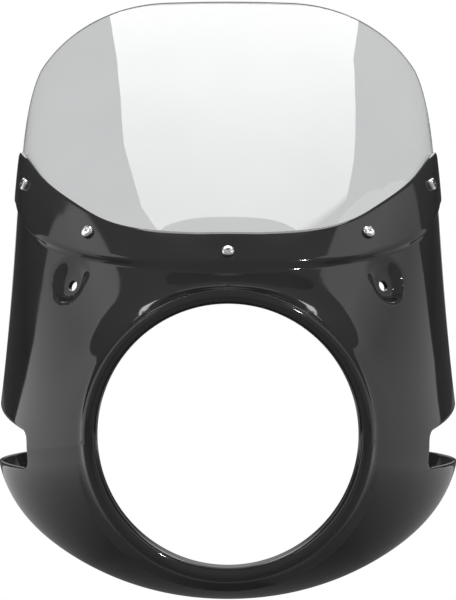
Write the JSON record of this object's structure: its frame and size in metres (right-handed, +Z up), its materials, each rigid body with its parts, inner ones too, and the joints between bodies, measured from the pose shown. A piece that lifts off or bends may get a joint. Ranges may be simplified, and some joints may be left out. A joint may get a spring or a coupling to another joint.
{
  "type": "headlight cowl",
  "caption": "Gloss black moulded headlight cowl with a round lamp opening, a stepped screen band, fork notches and a clear curved windscreen held by screws.",
  "frame": {"origin": "centre of the headlight opening, at the front end of its inner wall", "axes": "+Y from the front to the rear along the opening's axis, +Z up, +X to the right as seen from the front"},
  "size_m": [0.3726, 0.2352, 0.4811],
  "materials": {
    "shell_black": "gloss moulded",
    "screen_clear": "clear polished",
    "screw_chrome": "polished",
    "washer_nylon": "moulded",
    "nut_steel": "zinc plated"
  },
  "bodies": {
    "root": {"cowl_shell": "shell_black", "windscreen": "screen_clear", "screen_screws": "screw_chrome", "screen_washers": "washer_nylon", "screen_nuts": "nut_steel"}
  },
  "joints": []
}
